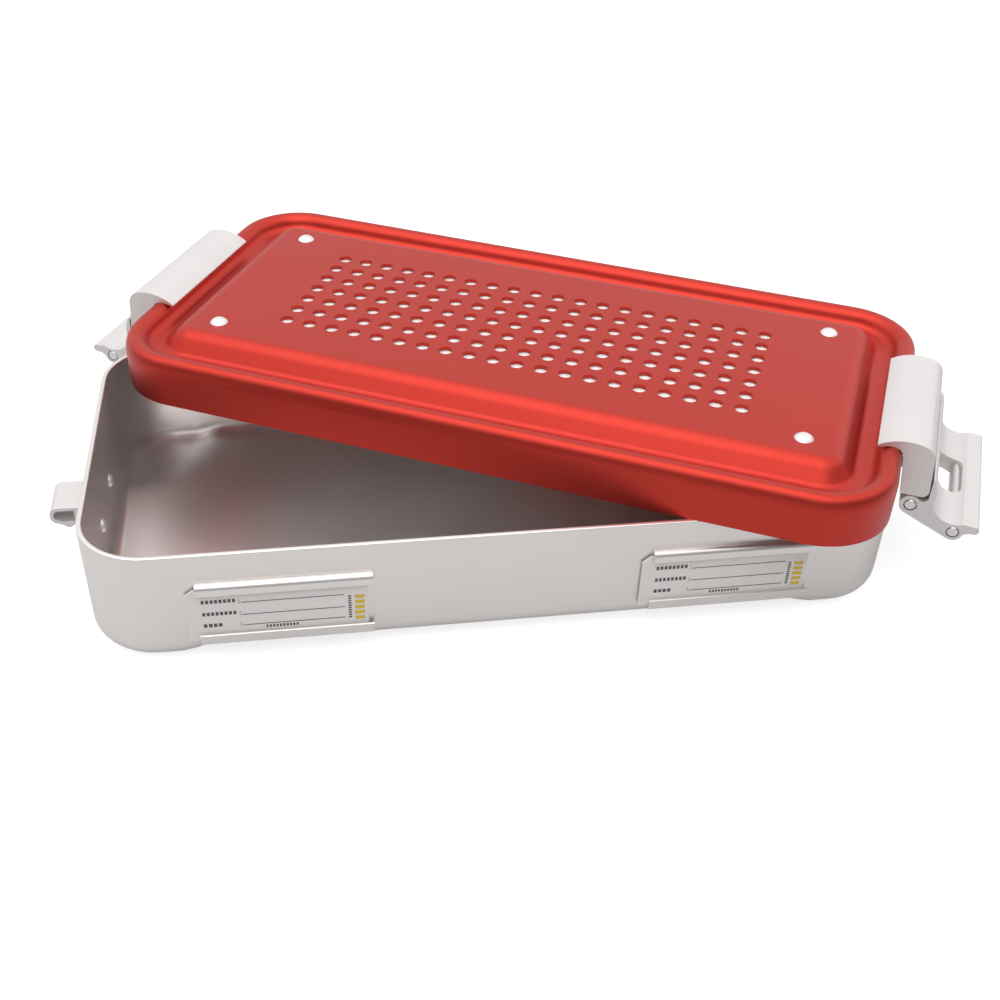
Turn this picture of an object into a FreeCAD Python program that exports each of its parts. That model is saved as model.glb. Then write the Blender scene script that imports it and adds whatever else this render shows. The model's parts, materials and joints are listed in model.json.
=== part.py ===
import FreeCAD, Part
import math
import os
import Sketcher

# Sterilization box for surgical instruments: a drawn tray, a perforated lid that lies
# askew on the tray's rim, and two latches on the lid.
# Millimetres. Origin: the tray's centre on the surface it stands on. X runs along the
# tray's length, Z is up. The lid's pieces are drawn in the lid's own frame, with Z = 0 at
# the skirt's lower edge, and are then turned and moved onto the rim.

SIZES = {
    # tray, drawn from one sheet
    "tray_length": 307.0,
    "tray_width": 147.0,
    "tray_height": 48.0,
    "tray_corner": 25.6,
    "tray_sheet": 2.0,
    "tray_bottom_radius": 8.0,
    "tray_rim_round": 0.6,
    "foot_depth": 2.5,
    "foot_reach": 40.0,
    "foot_slope": 8.0,
    # lid, drawn from one sheet
    "lid_clearance": 3.0,
    "lid_sheet": 1.5,
    "lid_height": 20.1,
    "shoulder_radius": 4.0,
    "bead_radius": 5.0,
    "bead_angle": 70.0,
    "groove_outer_radius": 4.0,
    "groove_flat": 2.35,
    "groove_inner_radius": 3.0,
    "slope_angle": 50.0,
    "panel_rise": 1.8,
    "panel_radius": 8.0,
    "lid_yaw": -26.8,
    "latch_past_end": 15.1,
    "latch_behind_tray": 35.6,
    # holes in the lid's panel
    "hole_margin_x": 61.0,
    "hole_margin_y": 46.0,
    "hole_pitch": 10.0,
    "hole_diameter": 5.7,
    # gasket
    "gasket_width": 5.3,
    "gasket_height": 5.6,
    # filter, retainer and rivets
    "filter_drop": 1.0,
    "filter_thickness": 0.6,
    "filter_clearance": 3.0,
    "filter_corner": 3.0,
    "retainer_thickness": 1.0,
    "vent_margin_x": 68.0,
    "vent_margin_y": 54.0,
    "vent_pitch": 44.0,
    "vent_diameter": 30.0,
    "lid_rivet_margin_x": 7.0,
    "lid_rivet_margin_y": 5.0,
    "lid_rivet_head": 9.0,
    "lid_rivet_dome": 1.7,
    "lid_rivet_shank": 4.0,
    # latch clamp and its rivets
    "latch_width": 67.0,
    "clamp_top": 3.5,
    "clamp_thickness": 12.5,
    "clamp_bottom": 0.8,
    "leg_width": 43.0,
    "clamp_rivet_y": 20.0,
    "clamp_rivet_z": 6.0,
    "clamp_rivet_shank": 4.0,
    "clamp_rivet_head": 8.0,
    "clamp_rivet_grip": 5.0,
    # hinge and lever
    "hinge_out": 7.0,
    "hinge_drop": 3.7,
    "pin_diameter": 5.0,
    "pin_clearance": 0.05,
    "knuckle_radius": 4.1,
    "side_clearance": 0.4,
    "bar_out": 17.5,
    "bar_drop": 8.3,
    "bar_knuckle_radius": 3.7,
    "lobe_gap": 0.45,
    "lobe_height": 12.7,
    "lever_reach": 26.7,
    "window_width": 24.0,
    "window_length": 10.3,
    "window_start": 8.9,
    # catch bracket and its rivets
    "hook_width": 18.0,
    "hook_top_drop": 23.5,
    "hook_reach": 18.4,
    "hook_wall": 1.6,
    "bracket_sheet": 2.0,
    "bracket_width": 42.0,
    "bracket_height": 15.0,
    "bracket_corner": 4.0,
    "catch_rivet_y": 15.0,
    "catch_rivet_drop": 28.5,
    "catch_rivet_head": 8.6,
    "catch_rivet_dome": 1.6,
    "catch_rivet_shank": 4.0,
    # label holders and cards
    "holder_length": 62.5,
    "holder_top_drop": 12.0,
    "holder_height": 28.0,
    "holder_sheet": 0.8,
    "holder_depth": 3.0,
    "holder_lip": 4.4,
    "left_holder_inset": 72.0,
    "right_holder_inset": 69.2,
    "card_thickness": 0.6,
    "card_gap": 0.1,
    "card_height": 23.4,
    "card_overhang": 4.0,
    "card_chamfer_x": 3.0,
    "card_chamfer_z": 2.5,
}

document = FreeCAD.newDocument("sterilization_box")
sheet = document.addObject("Spreadsheet::Sheet", "sizes")
for row, (size_name, size_value) in enumerate(SIZES.items(), start=1):
    sheet.set("A%d" % row, size_name)
    sheet.set("B%d" % row, str(size_value))
    sheet.setAlias("B%d" % row, size_name)
document.recompute()


def size(name):
    return float(getattr(sheet, name))


def vec(x, y, z=0.0):
    return FreeCAD.Vector(x, y, z)


# Places that several pieces share

tray_half_x = size("tray_length") / 2
tray_half_y = size("tray_width") / 2
rim_z = size("tray_height")
lid_half_x = tray_half_x + size("lid_clearance")
lid_half_y = tray_half_y + size("lid_clearance")
lid_corner = size("tray_corner") + size("lid_clearance")
lid_top = size("lid_height")
panel_top = lid_top + size("panel_rise")
panel_under = panel_top - size("lid_sheet")
filter_top = panel_under - size("filter_drop")
retainer_top = filter_top - size("filter_thickness")
retainer_under = retainer_top - size("retainer_thickness")
hinge_x = lid_half_x + size("hinge_out")
hinge_z = -size("hinge_drop")
bar_x = hinge_x + size("bar_out")
bar_z = hinge_z - size("bar_drop")
catch_rivet_z = rim_z - size("catch_rivet_drop")
ends = {"right": 0.0, "left": 180.0}
holders = {"left": size("left_holder_inset") - tray_half_x, "right": tray_half_x - size("right_holder_inset")}

# The lid lies where its right latch stands past the tray's end and its left latch behind
# the tray's back wall.
lid_yaw = math.radians(size("lid_yaw"))
lid_shift_x = tray_half_x + size("latch_past_end") - hinge_x * math.cos(lid_yaw)
lid_shift_y = tray_half_y + size("latch_behind_tray") + hinge_x * math.sin(lid_yaw)
lid_place = FreeCAD.Placement(
    vec(lid_shift_x, lid_shift_y, rim_z),
    FreeCAD.Rotation(vec(0, 0, 1), size("lid_yaw")),
)


def turned(angle):
    """A half turn about Z puts a piece at the other end of the tray or lid."""
    return FreeCAD.Placement(vec(0, 0, 0), FreeCAD.Rotation(vec(0, 0, 1), angle))


# Helpers for sketches and bodies

sub_parts = []


def keep(piece, name, placement=None):
    piece.Label = name
    if placement is not None:
        piece.Placement = placement
    sub_parts.append(piece)
    return piece


def new_body(name):
    return document.addObject("PartDesign::Body", "body_" + name)


def new_sketch(body, name, role):
    sketch = body.newObject("Sketcher::SketchObject", name)
    plane = [item for item in body.Origin.OriginFeatures if item.Role == role][0]
    sketch.AttachmentSupport = [(plane, "")]
    sketch.MapMode = "FlatFace"
    return sketch


def draw_outline(sketch, start, steps):
    """Closed outline: a step of one point is a line, of two points an arc through the first."""
    here = vec(*start)
    for step in steps:
        end = vec(*step[-1])
        if len(step) == 1:
            sketch.addGeometry(Part.LineSegment(here, end), False)
        else:
            sketch.addGeometry(Part.Arc(here, vec(*step[0]), end), False)
        here = end


def draw_rounded_rectangle(sketch, half_x, half_y, radius):
    """Rounded rectangle about the sketch's origin."""
    bulge = radius * (1 - math.sqrt(0.5))
    first = (-half_x + radius, -half_y)
    draw_outline(sketch, first, [
        [(half_x - radius, -half_y)],
        [(half_x - bulge, -half_y + bulge), (half_x, -half_y + radius)],
        [(half_x, half_y - radius)],
        [(half_x - bulge, half_y - bulge), (half_x - radius, half_y)],
        [(-half_x + radius, half_y)],
        [(-half_x + bulge, half_y - bulge), (-half_x, half_y - radius)],
        [(-half_x, -half_y + radius)],
        [(-half_x + bulge, -half_y + bulge), first],
    ])


def draw_circle(sketch, x, y, radius):
    sketch.addGeometry(Part.Circle(vec(x, y), vec(0, 0, 1), radius), False)


def pad(body, sketch, length, both_ways=False):
    """Pad whose length is an expression of the sheet's cells."""
    feature = body.newObject("PartDesign::Pad", sketch.Name + "_pad")
    feature.Profile = sketch
    feature.Midplane = both_ways
    feature.setExpression("Length", length)
    document.recompute()
    return feature


def pocket(body, sketch, length, both_ways=False, other_way=False):
    """Pocket that has to take something away."""
    before = body.Shape.Volume
    feature = body.newObject("PartDesign::Pocket", sketch.Name + "_pocket")
    feature.Profile = sketch
    feature.Midplane = both_ways
    feature.Reversed = other_way
    feature.setExpression("Length", length)
    document.recompute()
    if body.Shape.Volume >= before:
        raise RuntimeError(sketch.Name + " cuts nothing")
    return feature


def lift(sketch, expression):
    """Moves a sketch off its plane, along the plane's normal."""
    sketch.setExpression("AttachmentOffset.Base.z", expression)


# Tray: a drawn sheet with vertical walls, a plain rim and four pressed corner feet

def rounded_block(half_x, half_y, low_z, high_z, corner, bottom_radius):
    """Block with round corners and a rounded bottom edge."""
    block = Part.makeBox(2 * half_x, 2 * half_y, high_z - low_z, vec(-half_x, -half_y, low_z))
    uprights = [edge for edge in block.Edges if abs(edge.BoundBox.ZLength) > 1]
    block = block.makeFillet(corner, uprights)
    bottom = [edge for edge in block.Edges if edge.BoundBox.ZMax < low_z + 0.001]
    return block.makeFillet(bottom_radius, bottom)


def tray_volume(inset):
    """What the tray's outside (inset 0) or its inside (inset of one sheet) holds."""
    half_x = tray_half_x - inset
    half_y = tray_half_y - inset
    corner = size("tray_corner") - inset
    radius = size("tray_bottom_radius") - inset
    top = rim_z + inset
    depth = size("foot_depth")
    body = rounded_block(half_x, half_y, depth + inset, top, corner, radius)
    deep = rounded_block(half_x, half_y, inset, top, corner, radius)
    reach = size("foot_reach")
    cones = []
    for side_x in (-1, 1):
        for side_y in (-1, 1):
            base = vec(side_x * tray_half_x, side_y * tray_half_y, inset)
            flare = Part.makeCone(reach - size("foot_slope"), reach, depth, base)
            upper = Part.makeCylinder(reach, radius, base + vec(0, 0, depth))
            cones.append(deep.common(flare.fuse(upper)))
    return body.fuse(cones).removeSplitter()


def make_tray():
    solid = tray_volume(0.0).cut(tray_volume(size("tray_sheet")))
    rim = [edge for edge in solid.Edges if edge.BoundBox.ZMin > rim_z - 0.001]
    solid = solid.makeFillet(size("tray_rim_round"), rim)
    holes = []
    for side in (-1, 1):
        for y in (-size("catch_rivet_y"), size("catch_rivet_y")):
            start = vec(side * (tray_half_x - size("tray_sheet") - 1), y, catch_rivet_z)
            length = size("tray_sheet") + 2
            radius = size("catch_rivet_shank") / 2
            holes.append(Part.makeCylinder(radius, length, start, vec(side, 0, 0)))
    solid = solid.cut(holes)
    piece = document.addObject("Part::Feature", "tray_sheet_metal")
    piece.Shape = solid
    return keep(piece, "tray")


# Lid: a drawn sheet whose edge has a skirt, a bead for the gasket, a groove and a slope
# up to the panel. All its pieces share the inset of the sheet's inner face.

def on_circle(centre, radius, angle):
    """Point of a section's circle, at an angle from straight up and towards the lid's middle."""
    return vec(centre.x + radius * math.sin(angle), 0, centre.z + radius * math.cos(angle))


shoulder = size("shoulder_radius")
bead = size("bead_radius")
lean = math.radians(size("bead_angle"))
slope = math.radians(size("slope_angle"))
groove_out = size("groove_outer_radius")
groove_in = size("groove_inner_radius")
crown = size("panel_radius")
shoulder_centre = vec(shoulder, 0, lid_top - shoulder)
bead_centre = vec(shoulder, 0, lid_top - bead)
outer_centre = on_circle(bead_centre, bead + groove_out, lean)
inner_centre = vec(outer_centre.x + size("groove_flat"), 0, outer_centre.z - groove_out + groove_in)
slope_foot = on_circle(inner_centre, groove_in, math.pi - slope)
slope_head_z = panel_top - crown + crown * math.cos(slope)
slope_head_x = slope_foot.x + (slope_head_z - slope_foot.z) / math.tan(slope)
crown_centre = vec(slope_head_x + crown * math.sin(slope), 0, panel_top - crown)

# The flat panel starts over the crown's centre, and the filter lies inside it
filter_half_x = lid_half_x - crown_centre.x - size("filter_clearance")
filter_half_y = lid_half_y - crown_centre.x - size("filter_clearance")


def lid_section(inset, low_z):
    """Face between the lid's surface, inset by so much, and a plane below.

    The first coordinate is the distance in from the skirt's outer face, and the face ends
    at the centre of the lid's corner.
    """
    points = [
        vec(inset, 0, low_z),
        vec(inset, 0, shoulder_centre.z),
        on_circle(shoulder_centre, shoulder - inset, -math.pi / 4),
        on_circle(shoulder_centre, shoulder - inset, 0),
        on_circle(bead_centre, bead - inset, lean / 2),
        on_circle(bead_centre, bead - inset, lean),
        on_circle(outer_centre, groove_out + inset, math.pi + lean / 2),
        on_circle(outer_centre, groove_out + inset, math.pi),
        on_circle(inner_centre, groove_in + inset, math.pi),
        on_circle(inner_centre, groove_in + inset, math.pi - slope / 2),
        on_circle(inner_centre, groove_in + inset, math.pi - slope),
        on_circle(crown_centre, crown - inset, -slope),
        on_circle(crown_centre, crown - inset, -slope / 2),
        on_circle(crown_centre, crown - inset, 0),
        vec(lid_corner, 0, panel_top - inset),
        vec(lid_corner, 0, low_z),
    ]
    edges = [
        Part.LineSegment(points[0], points[1]),
        Part.Arc(points[1], points[2], points[3]),
        Part.Arc(points[3], points[4], points[5]),
        Part.Arc(points[5], points[6], points[7]),
        Part.LineSegment(points[7], points[8]),
        Part.Arc(points[8], points[9], points[10]),
        Part.LineSegment(points[10], points[11]),
        Part.Arc(points[11], points[12], points[13]),
        Part.LineSegment(points[13], points[14]),
        Part.LineSegment(points[14], points[15]),
        Part.LineSegment(points[15], points[0]),
    ]
    return Part.Face(Part.Wire([edge.toShape() for edge in edges]))


def lid_volume(inset, low_z):
    """The section run round the lid's rounded rectangle, with the panel's block inside it."""
    section = lid_section(inset, low_z)
    straight_x = lid_half_x - lid_corner
    straight_y = lid_half_y - lid_corner
    corner = section.revolve(vec(lid_corner, 0, 0), vec(0, 0, 1), -90)
    pieces = []
    for quarter in range(4):
        along_end = quarter % 2 == 0
        half_run = straight_y if along_end else straight_x
        outer = lid_half_x if along_end else lid_half_y
        side = section.extrude(vec(0, 2 * half_run, 0))
        side.translate(vec(-outer, -half_run, 0))
        side.rotate(vec(0, 0, 0), vec(0, 0, 1), 90 * quarter)
        pieces.append(side)
        bend = corner.copy()
        bend.translate(vec(-outer, half_run, 0))
        bend.rotate(vec(0, 0, 0), vec(0, 0, 1), 90 * quarter)
        pieces.append(bend)
    block = Part.makeBox(2 * straight_x, 2 * straight_y, panel_top - inset - low_z,
                         vec(-straight_x, -straight_y, low_z))
    return block.fuse(pieces).removeSplitter()


def lid_rivet_places():
    rivet_x = filter_half_x - size("lid_rivet_margin_x")
    rivet_y = filter_half_y - size("lid_rivet_margin_y")
    return [(x, y) for x in (-rivet_x, rivet_x) for y in (-rivet_y, rivet_y)]


def grid_places(margin_x, margin_y, pitch):
    """Centred grid with as many columns and rows as the lid holds between its margins."""
    columns = int(2 * (lid_half_x - margin_x) / pitch) + 1
    rows = int(2 * (lid_half_y - margin_y) / pitch) + 1
    return [((column - (columns - 1) / 2) * pitch, (row - (rows - 1) / 2) * pitch)
            for column in range(columns) for row in range(rows)]


def make_lid():
    sheet_metal = size("lid_sheet")
    solid = lid_volume(0.0, 0.0).cut(lid_volume(sheet_metal, -1.0))
    low = panel_under - 1
    depth = sheet_metal + 2
    holes = []
    for x, y in grid_places(size("hole_margin_x"), size("hole_margin_y"), size("hole_pitch")):
        holes.append(Part.makeCylinder(size("hole_diameter") / 2, depth, vec(x, y, low)))
    for x, y in lid_rivet_places():
        holes.append(Part.makeCylinder(size("lid_rivet_shank") / 2, depth, vec(x, y, low)))
    for side in (-1, 1):
        for y in (-size("clamp_rivet_y"), size("clamp_rivet_y")):
            start = vec(side * (lid_half_x - sheet_metal - 1), y, size("clamp_rivet_z"))
            radius = size("clamp_rivet_shank") / 2
            holes.append(Part.makeCylinder(radius, sheet_metal + 2, start, vec(side, 0, 0)))
    solid = solid.cut(holes)
    piece = document.addObject("Part::Feature", "lid_sheet_metal")
    piece.Shape = solid
    return keep(piece, "lid", lid_place)


# Gasket: a flat ring of silicone in the bead's channel, against the skirt's inner face

def make_gasket():
    body = new_body("lid_gasket")
    sketch = new_sketch(body, "gasket_ring", "XY_Plane")
    inset = size("lid_sheet")
    for edge_inset in (inset, inset + size("gasket_width")):
        draw_rounded_rectangle(sketch, lid_half_x - edge_inset, lid_half_y - edge_inset,
                               lid_corner - edge_inset)
    lift(sketch, "sizes.lid_height - sizes.shoulder_radius - sizes.gasket_height")
    pad(body, sketch, "sizes.gasket_height")
    return keep(body, "lid_gasket", lid_place)


# Filter sheet and its retainer, held under the panel by four rivets

def draw_rivet_holes(sketch):
    for x, y in lid_rivet_places():
        draw_circle(sketch, x, y, size("lid_rivet_shank") / 2)


def make_filter_sheet():
    body = new_body("filter_sheet")
    sketch = new_sketch(body, "filter_outline", "XY_Plane")
    draw_rounded_rectangle(sketch, filter_half_x, filter_half_y, size("filter_corner"))
    draw_rivet_holes(sketch)
    lift(sketch, "sizes.lid_height + sizes.panel_rise - sizes.lid_sheet - sizes.filter_drop"
                 " - sizes.filter_thickness")
    pad(body, sketch, "sizes.filter_thickness")
    return keep(body, "filter_sheet", lid_place)


def make_filter_retainer():
    body = new_body("filter_retainer")
    sketch = new_sketch(body, "retainer_outline", "XY_Plane")
    draw_rounded_rectangle(sketch, filter_half_x, filter_half_y, size("filter_corner"))
    draw_rivet_holes(sketch)
    for x, y in grid_places(size("vent_margin_x"), size("vent_margin_y"), size("vent_pitch")):
        draw_circle(sketch, x, y, size("vent_diameter") / 2)
    lift(sketch, "sizes.lid_height + sizes.panel_rise - sizes.lid_sheet - sizes.filter_drop"
                 " - sizes.filter_thickness - sizes.retainer_thickness")
    pad(body, sketch, "sizes.retainer_thickness")
    return keep(body, "filter_retainer", lid_place)


# Rivets: a domed head, a shank and a flat closing head, turned about their own axis

def rivet(head_radius, dome, shank_radius, grip, closing_radius, closing_height):
    """Rivet along Z: the dome's flat side is at Z = 0 and the shank runs down by the grip.

    A rivet that ends in a blind hole has a closing height of 0.
    """
    top = vec(0, 0, dome)
    rise = math.asin(min(1.0, 2 * head_radius * dome / (head_radius ** 2 + dome ** 2)))
    ball = (head_radius ** 2 + dome ** 2) / (2 * dome)
    middle = vec(ball * math.sin(rise / 2), 0, dome - ball * (1 - math.cos(rise / 2)))
    edge = vec(head_radius, 0, 0)
    corners = [edge, vec(shank_radius, 0, 0)]
    if closing_height > 0:
        corners.append(vec(shank_radius, 0, -grip))
        corners.append(vec(closing_radius, 0, -grip))
        corners.append(vec(closing_radius, 0, -grip - closing_height))
    else:
        corners.append(vec(shank_radius, 0, -grip))
    corners.append(vec(0, 0, -grip - closing_height))
    corners.append(top)
    edges = [Part.Arc(top, middle, edge).toShape()]
    for start, end in zip(corners, corners[1:]):
        edges.append(Part.LineSegment(start, end).toShape())
    return Part.Face(Part.Wire(edges)).revolve(vec(0, 0, 0), vec(0, 0, 1), 360)


def make_lid_rivets():
    shank = size("lid_rivet_shank") / 2
    grip = panel_top - retainer_under
    one = rivet(size("lid_rivet_head") / 2, size("lid_rivet_dome"), shank, grip, shank + 1.5, 1.0)
    solids = []
    for x, y in lid_rivet_places():
        copy = one.copy()
        copy.translate(vec(x, y, panel_top))
        solids.append(copy)
    piece = document.addObject("Part::Feature", "lid_rivet_set")
    piece.Shape = Part.makeCompound(solids)
    return keep(piece, "lid_rivets", lid_place)


def rivet_pair(one, angle, start_x, half_spacing, z):
    """Two rivets that point outwards through an end wall, at the end turned by an angle."""
    solids = []
    for y in (-half_spacing, half_spacing):
        copy = one.copy()
        copy.rotate(vec(0, 0, 0), vec(0, 1, 0), -90)
        copy.translate(vec(start_x, y, z))
        copy.rotate(vec(0, 0, 0), vec(0, 0, 1), angle)
        solids.append(copy)
    return Part.makeCompound(solids)


def make_catch_rivets(side, angle):
    shank = size("catch_rivet_shank") / 2
    grip = size("tray_sheet") + size("bracket_sheet")
    one = rivet(size("catch_rivet_head") / 2, size("catch_rivet_dome"), shank, grip, shank + 1.6, 1.2)
    piece = document.addObject("Part::Feature", "catch_rivet_pair_" + side)
    piece.Shape = rivet_pair(one, angle, tray_half_x - size("tray_sheet"), size("catch_rivet_y"),
                             catch_rivet_z)
    return keep(piece, "catch_rivets_" + side)


def make_clamp_rivets(side, angle):
    shank = size("clamp_rivet_shank") / 2
    grip = size("lid_sheet") + size("clamp_rivet_grip")
    one = rivet(size("clamp_rivet_head") / 2, size("catch_rivet_dome"), shank, grip, shank, 0.0)
    piece = document.addObject("Part::Feature", "clamp_rivet_pair_" + side)
    piece.Shape = rivet_pair(one, angle, lid_half_x - size("lid_sheet"), size("clamp_rivet_y"),
                             size("clamp_rivet_z"))
    return keep(piece, "clamp_rivets_" + side, lid_place)


# Latch clamp: an extruded hook that grips the lid's bead, with a leg round the hinge pin

def draw_clamp(sketch):
    shoulder = size("shoulder_radius")
    crest_x = lid_half_x - shoulder
    shoulder_z = lid_top - shoulder
    diagonal = shoulder * math.sqrt(0.5)
    bottom = size("clamp_bottom")
    out = lid_half_x + size("clamp_thickness")
    top = lid_top + size("clamp_top")
    draw_outline(sketch, (crest_x, lid_top), [
        [(crest_x - 2.0, lid_top)],
        [(crest_x - 5.1, lid_top - 0.9)],
        [(crest_x - 5.9, lid_top - 0.7), (crest_x - 5.7, lid_top)],
        [(crest_x + 2.0, top - 0.3), (out - 4.2, top - 1.3)],
        [(out - 1.9, lid_top - 0.3), (out - 1.0, shoulder_z - 0.2)],
        [(out, bottom + 3.0)],
        [(out - 0.8, bottom + 0.9), (out - 3.0, bottom)],
        [(lid_half_x + 2.1, bottom)],
        [(lid_half_x + 0.7, shoulder_z - 4.2)],
        [(lid_half_x, shoulder_z)],
        [(crest_x + diagonal, shoulder_z + diagonal), (crest_x, lid_top)],
    ])


def make_clamp(side, angle):
    body = new_body("latch_clamp_" + side)
    hook = new_sketch(body, "clamp_hook_" + side, "XZ_Plane")
    draw_clamp(hook)
    pad(body, hook, "sizes.latch_width", True)
    leg = new_sketch(body, "clamp_leg_" + side, "XZ_Plane")
    knuckle = size("knuckle_radius")
    root_z = size("clamp_bottom") + 1.0
    draw_outline(leg, (hinge_x - knuckle, root_z), [
        [(hinge_x - knuckle, hinge_z)],
        [(hinge_x, hinge_z - knuckle), (hinge_x + knuckle, hinge_z)],
        [(hinge_x + knuckle - 1.0, root_z)],
        [(hinge_x - knuckle, root_z)],
    ])
    pad(body, leg, "sizes.leg_width", True)
    bore = new_sketch(body, "clamp_bore_" + side, "XZ_Plane")
    draw_circle(bore, hinge_x, hinge_z, size("pin_diameter") / 2)
    pocket(body, bore, "sizes.latch_width", True)
    holes = new_sketch(body, "clamp_rivet_holes_" + side, "YZ_Plane")
    for y in (-size("clamp_rivet_y"), size("clamp_rivet_y")):
        draw_circle(holes, y, size("clamp_rivet_z"), size("clamp_rivet_shank") / 2)
    lift(holes, "sizes.tray_length / 2 + sizes.lid_clearance")
    pocket(body, holes, "sizes.clamp_rivet_grip + 0.5", other_way=True)
    return keep(body, "latch_clamp_" + side, lid_place.multiply(turned(angle)))


# Hinge pin and catch bar: plain steel pins across the latch

def make_pin(name, side, angle, x, z):
    pin = document.addObject("Part::Cylinder", name + "_pin_" + side)
    pin.setExpression("Radius", "sizes.pin_diameter / 2")
    pin.setExpression("Height", "sizes.latch_width")
    across = FreeCAD.Placement(vec(x, size("latch_width") / 2, z), FreeCAD.Rotation(vec(1, 0, 0), 90))
    return keep(pin, name + "_" + side, lid_place.multiply(turned(angle)).multiply(across))


# Latch lever: an extruded flap hinged on the clamp, drawn swung out, with a lobe beside
# the clamp, a window that the catch hook enters, and the catch bar across the window

def draw_lever(sketch):
    knuckle = size("knuckle_radius")
    bar_knuckle = size("bar_knuckle_radius")
    lobe_x = lid_half_x + size("clamp_thickness") + size("lobe_gap")
    lobe_top = hinge_z + size("lobe_height")
    tip_x = hinge_x + size("lever_reach")
    run_x = bar_x - hinge_x
    run_z = bar_z - hinge_z
    run = math.hypot(run_x, run_z)
    lean = math.atan2(run_z, run_x) + math.asin((bar_knuckle - knuckle) / run)
    down_x = math.sin(lean)
    down_z = -math.cos(lean)
    under_start = (hinge_x + knuckle * down_x, hinge_z + knuckle * down_z)
    under_end = (bar_x + bar_knuckle * down_x, bar_z + bar_knuckle * down_z)
    left = (hinge_x - knuckle * math.sqrt(0.5), hinge_z + knuckle * math.sqrt(0.5))
    top = (hinge_x + knuckle * 0.5, hinge_z + knuckle * math.sqrt(0.75))
    draw_outline(sketch, under_start, [
        [under_end],
        [(bar_x + 2.2, bar_z - 2.9), (bar_x + bar_knuckle, bar_z - 0.5)],
        [(bar_x + 5.6, bar_z + 0.7)],
        [(tip_x - 1.3, bar_z + 0.8)],
        [(tip_x, bar_z + 2.2), (tip_x - 1.0, bar_z + 4.0)],
        [(bar_x + 3.4, bar_z + 4.4)],
        [(hinge_x + 11.6, hinge_z - 3.2), (lobe_x + 2.0, hinge_z + 2.4)],
        [(lobe_x + 2.2, hinge_z + 7.0), (lobe_x + 0.5, lobe_top)],
        [(lobe_x, lobe_top)],
        [(lobe_x, hinge_z + 4.6)],
        [(lobe_x - 0.7, hinge_z + 3.1), top],
        [left, under_start],
    ])


def make_lever(side, angle):
    body = new_body("latch_lever_" + side)
    flap = new_sketch(body, "lever_flap_" + side, "XZ_Plane")
    draw_lever(flap)
    pad(body, flap, "sizes.latch_width", True)
    gap = new_sketch(body, "lever_gap_" + side, "XZ_Plane")
    clear = size("knuckle_radius") + size("side_clearance")
    draw_circle(gap, hinge_x, hinge_z, clear)
    pocket(body, gap, "sizes.leg_width + 2 * sizes.side_clearance", True)
    window = new_sketch(body, "lever_window_" + side, "XY_Plane")
    half_width = size("window_width") / 2
    start = hinge_x + size("window_start")
    end = start + size("window_length")
    round_end = 4.0
    cut = round_end * (1 - math.sqrt(0.5))
    draw_outline(window, (start, -half_width + round_end), [
        [(start + cut, -half_width + cut), (start + round_end, -half_width)],
        [(end - round_end, -half_width)],
        [(end - cut, -half_width + cut), (end, -half_width + round_end)],
        [(end, half_width - round_end)],
        [(end - cut, half_width - cut), (end - round_end, half_width)],
        [(start + round_end, half_width)],
        [(start + cut, half_width - cut), (start, half_width - round_end)],
        [(start, -half_width + round_end)],
    ])
    pocket(body, window, "2 * sizes.lever_reach", True)
    hinge_bore = new_sketch(body, "lever_hinge_bore_" + side, "XZ_Plane")
    draw_circle(hinge_bore, hinge_x, hinge_z, size("pin_diameter") / 2 + size("pin_clearance"))
    pocket(body, hinge_bore, "sizes.latch_width", True)
    bar_bore = new_sketch(body, "lever_bar_bore_" + side, "XZ_Plane")
    draw_circle(bar_bore, bar_x, bar_z, size("pin_diameter") / 2)
    pocket(body, bar_bore, "sizes.latch_width", True)
    return keep(body, "latch_lever_" + side, lid_place.multiply(turned(angle)))


# Catch bracket: a flange riveted to the tray's end wall and a hollow hook with a lip

def make_bracket(side, angle):
    body = new_body("catch_bracket_" + side)
    hook = new_sketch(body, "catch_hook_" + side, "XZ_Plane")
    wall = size("hook_wall")
    reach = tray_half_x + size("hook_reach")
    top = rim_z - size("hook_top_drop")
    draw_outline(hook, (tray_half_x, top), [
        [(reach - 2.8, top)],
        [(reach - 0.7, top - 1.3), (reach, top - 3.6)],
        [(reach - 0.6, top - 6.2), (reach - 2.6, top - 7.5)],
        [(reach - 4.5, top - 8.2)],
        [(reach - 6.0, top - 9.5)],
        [(reach - 7.3, top - 9.5)],
        [(reach - 9.4, top - 7.9)],
        [(tray_half_x, top - 7.9)],
        [(tray_half_x, top)],
    ])
    hollow_back = reach - 9.3
    draw_outline(hook, (hollow_back, top - wall), [
        [(reach - 3.2, top - wall)],
        [(reach - 1.9, top - 2.4), (reach - wall, top - 3.8)],
        [(reach - 2.0, top - 5.3), (reach - 3.3, top - 6.1)],
        [(reach - 4.7, top - 6.7)],
        [(hollow_back, top - 6.7)],
        [(hollow_back, top - wall)],
    ])
    pad(body, hook, "sizes.hook_width", True)
    flange = new_sketch(body, "catch_flange_" + side, "YZ_Plane")
    half_width = size("bracket_width") / 2
    half_height = size("bracket_height") / 2
    draw_rounded_rectangle(flange, half_width, half_height, size("bracket_corner"))
    flange.setExpression("AttachmentOffset.Base.y", "sizes.tray_height - sizes.catch_rivet_drop")
    lift(flange, "sizes.tray_length / 2")
    pad(body, flange, "sizes.bracket_sheet")
    holes = new_sketch(body, "catch_rivet_holes_" + side, "YZ_Plane")
    for y in (-size("catch_rivet_y"), size("catch_rivet_y")):
        draw_circle(holes, y, catch_rivet_z, size("catch_rivet_shank") / 2)
    lift(holes, "sizes.tray_length / 2")
    pocket(body, holes, "sizes.bracket_sheet", other_way=True)
    return keep(body, "catch_bracket_" + side, turned(angle))


# Label holders and cards: a folded channel on the front wall, and a card slid into it

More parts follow.
